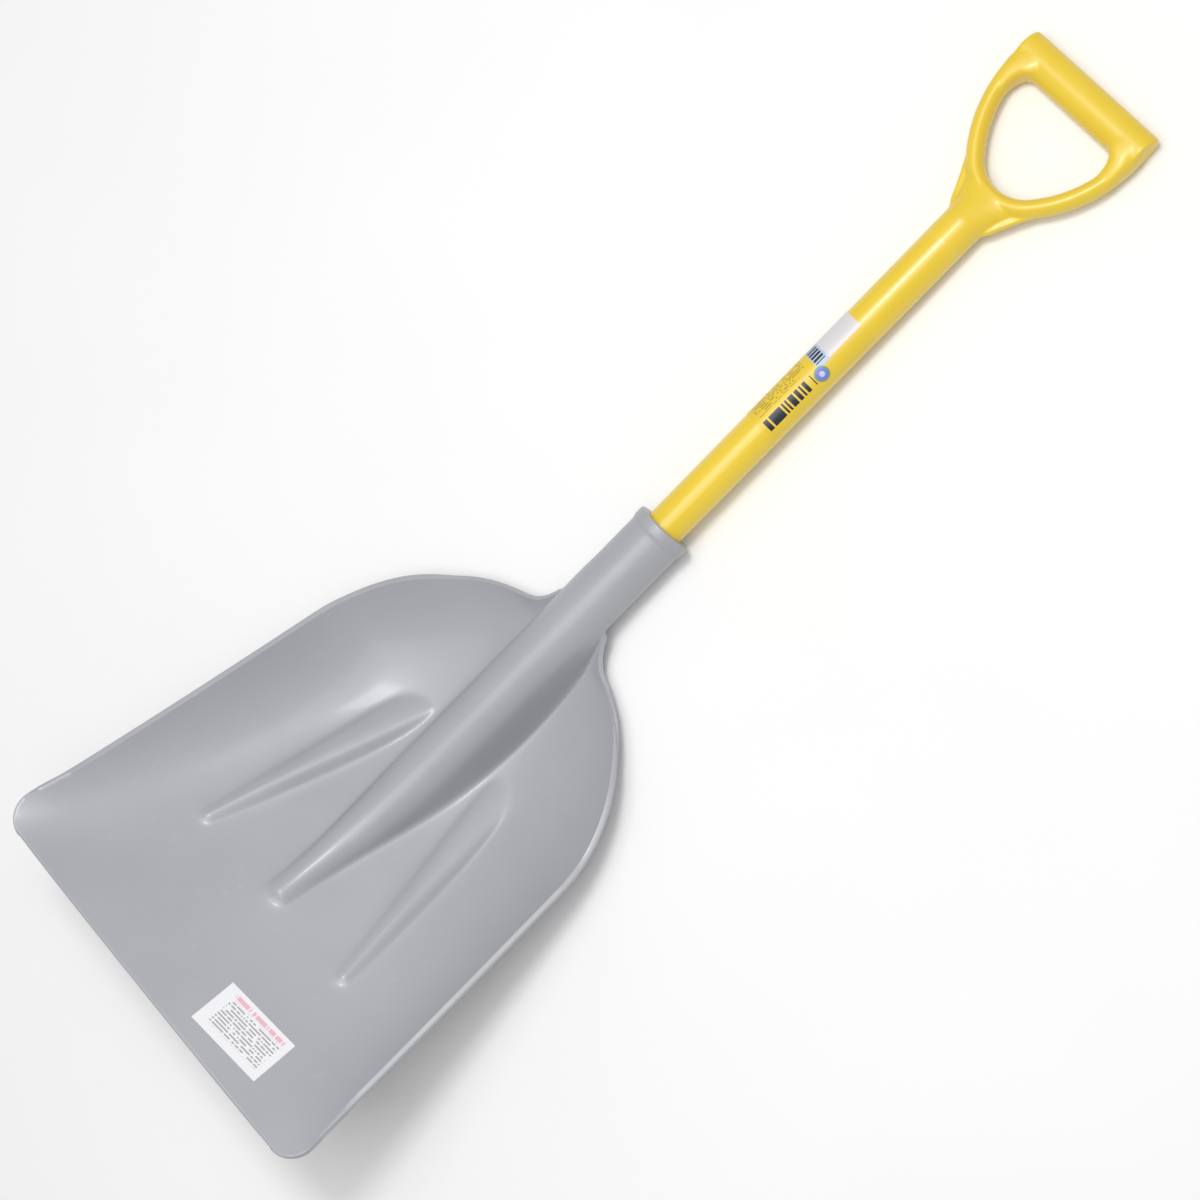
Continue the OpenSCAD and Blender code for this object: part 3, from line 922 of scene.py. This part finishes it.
def shaft_print():
    arc = math.radians(SHAFT_LABEL_ARC[1]) * LABEL_R
    top = math.radians(SHAFT_LABEL_ARC[0] - 270) * LABEL_R
    m = Print("shaft_label", (SHAFT_LABEL_S[1] - SHAFT_LABEL_S[0], arc), (SHAFT_LABEL_S[0], top),
              Coat_Weight=0.2, Coat_Roughness=0.2)
    navy, blue, green = rgb(0.006, 0.009, 0.03), rgb(0.16, 0.22, 0.62), rgb(0.20, 0.30, 0.22)
    base = m.mix(m.block(320, 356, -40, 4), rgb(0.80, 0.565, 0.03), rgb(0.70, 0.67, 0.68))
    base = m.mix(m.block(307, 320, -40, 5), base, rgb(0.44, 0.55, 0.68))
    dark = m.times(m.block(308, 318, -16, 1), m.rows(3.4, 0.62))
    base = m.mix(dark, base, navy)
    heavy = m.times(m.block(244, 298, 2.4, 12.6), m.words(1.8, 60, 0.62))
    base = m.mix(heavy, base, navy)
    lines = m.times(m.block(244, 300, -17, -2), m.rows(2.4, 0.34))
    lines = m.times(lines, m.words(1.6, 2.4, 0.66))
    base = m.mix(m.times(lines, 0.7), base, navy)
    dx, dy = m.calc("SUBTRACT", m.x, 306), m.calc("SUBTRACT", m.y, 9)
    reach = m.calc("SQRT", m.calc("ADD", m.times(dx, dx), m.times(dy, dy)))
    base = m.mix(m.calc("LESS_THAN", reach, 6.8), base, green)
    base = m.mix(m.calc("LESS_THAN", reach, 5.2), base, blue)
    base = m.mix(m.calc("LESS_THAN", reach, 2.4), base, rgb(0.55, 0.62, 0.85))
    return m.paper(base)


def blade_print():
    w, h = BLADE_LABEL_SIZE
    m = Print("blade_label", (w, h), (0, 0), Coat_Weight=0.2, Coat_Roughness=0.15)
    base = rgb(0.83, 0.83, 0.86)
    head = m.times(m.block(11, 68, 36.2, 40), m.words(1.3, 50, 0.72))
    base = m.mix(m.times(head, 0.75), base, rgb(0.80, 0.32, 0.43))
    body = m.times(m.block(11, 68, 7, 35), m.rows(2.9, 0.48))
    body = m.times(body, m.words(1.3, 2.9, 0.74))
    base = m.mix(m.times(body, 0.6), base, rgb(0.09, 0.09, 0.11))
    return m.paper(base)


# ---------------------------------------------------------------- studio
FLOOR_Z = 0.0
TARGET = Vector((0.01354, -0.04927, 0.060))
AZIMUTH = math.radians(118.511)
ELEVATION = math.radians(69.632)
ROLL = math.radians(-73.003)
DISTANCE = 2.1928
LENS = 80.285
SENSOR_W = 36
CLIP = (0.05, 60)
FLOOR_HALF = 12.0
WORLD_STRENGTH = 0.38
KEY_PLACE = (-0.12, 0.55, 2.6)
KEY_AIM = (0, -0.1, 0)
KEY_SIZE = 0.5
KEY_POWER = 21
TOP_PLACE = (0.15, 0.1, 2.9)
TOP_AIM = (0, 0, 0)
TOP_SIZE = 2.2
TOP_POWER = 43


def camera():
    data = bpy.data.cameras.new("camera")
    data.sensor_width, data.lens = SENSOR_W, LENS
    data.clip_start, data.clip_end = CLIP
    made = linked("camera", data)
    back = Vector((math.sin(AZIMUTH) * math.cos(ELEVATION), -math.cos(AZIMUTH) * math.cos(ELEVATION),
                   math.sin(ELEVATION)))
    flat = Vector((math.cos(AZIMUTH), math.sin(AZIMUTH), 0))
    rise = back.cross(flat)
    right = flat * math.cos(ROLL) + rise * math.sin(ROLL)
    up = rise * math.cos(ROLL) - flat * math.sin(ROLL)
    turn = Matrix((right, up, back)).transposed().to_4x4()
    made.matrix_world = Matrix.Translation(TARGET + back * DISTANCE) @ turn
    bpy.context.scene.camera = made


def softbox(name, place, aim, size, power):
    data = bpy.data.lights.new(name, "AREA")
    data.shape, data.size, data.size_y = "RECTANGLE", size, size
    data.energy = power
    made = linked(name, data)
    place = Vector(place)
    turn = (place - Vector(aim)).to_track_quat("Z", "Y").to_matrix().to_4x4()
    made.matrix_world = Matrix.Translation(place) @ turn


def white_world():
    world = bpy.data.worlds.new("studio")
    world.use_nodes = True
    sky = world.node_tree.nodes["Background"]
    sky.inputs[0].default_value, sky.inputs[1].default_value = rgb(1, 1, 1), WORLD_STRENGTH
    bpy.context.scene.world = world


def pale_floor():
    mesh = bpy.data.meshes.new("floor")
    r = FLOOR_HALF
    mesh.from_pydata([(-r, -r, FLOOR_Z), (r, -r, FLOOR_Z), (r, r, FLOOR_Z), (-r, r, FLOOR_Z)], [],
                     [(0, 1, 2, 3)])
    ground = linked("floor", mesh)
    m = Shader("floor", Roughness=0.9)
    m.main.inputs["Specular IOR Level"].default_value = 0.1
    m.put(m.main.inputs["Base Color"],
          m.mix(m.spread(m.noise(3, 2), 0.3, 0.7), rgb(0.90, 0.90, 0.90), rgb(0.92, 0.92, 0.92)))
    mesh.materials.append(m.material)


def studio():
    white_world()
    pale_floor()
    softbox("key", KEY_PLACE, KEY_AIM, KEY_SIZE, KEY_POWER)
    softbox("top", TOP_PLACE, TOP_AIM, TOP_SIZE, TOP_POWER)
    bpy.context.scene.view_settings.view_transform = "Standard"


# ---------------------------------------------------------------- the scoop
def paint(node, material):
    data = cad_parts[node].data
    data.materials.clear()
    data.materials.append(material)


camera()
studio()
grey = grey_moulding()
piece("blade_shell", *blade_shell(), BLADE_FRAME, grey, "grey_moulding", ["scoop_blade"])
tube = piece("blade_socket", *socket_tube(), SHAFT_FRAME, grey, "grey_moulding", ["scoop_blade"])
with_seats(tube, [(s, SOCKET_R) for s in SOCKET_SCREW_S])
sleeve = piece("sleeve_tube", *sleeve_tube(), SHAFT_FRAME,
               yellow_plastic("yellow_sleeve", 0.26, 0.34, 0.02), "yellow_sleeve", ["shaft_sleeve"])
with_seats(sleeve, [(GRIP_SCREW_S, shaft_radius(GRIP_SCREW_S))])
finished("moulded_grip", grip_mesh(), yellow_plastic("yellow_grip", 0.36, 0.44, 1.0),
         ["d_grip"], GRIP_SHARP)
shaft_label(shaft_print())
blade_label(blade_print())
paint("shaft_core", timber())
steel = zinc()
paint("socket_screws", steel)
paint("grip_screw", steel)
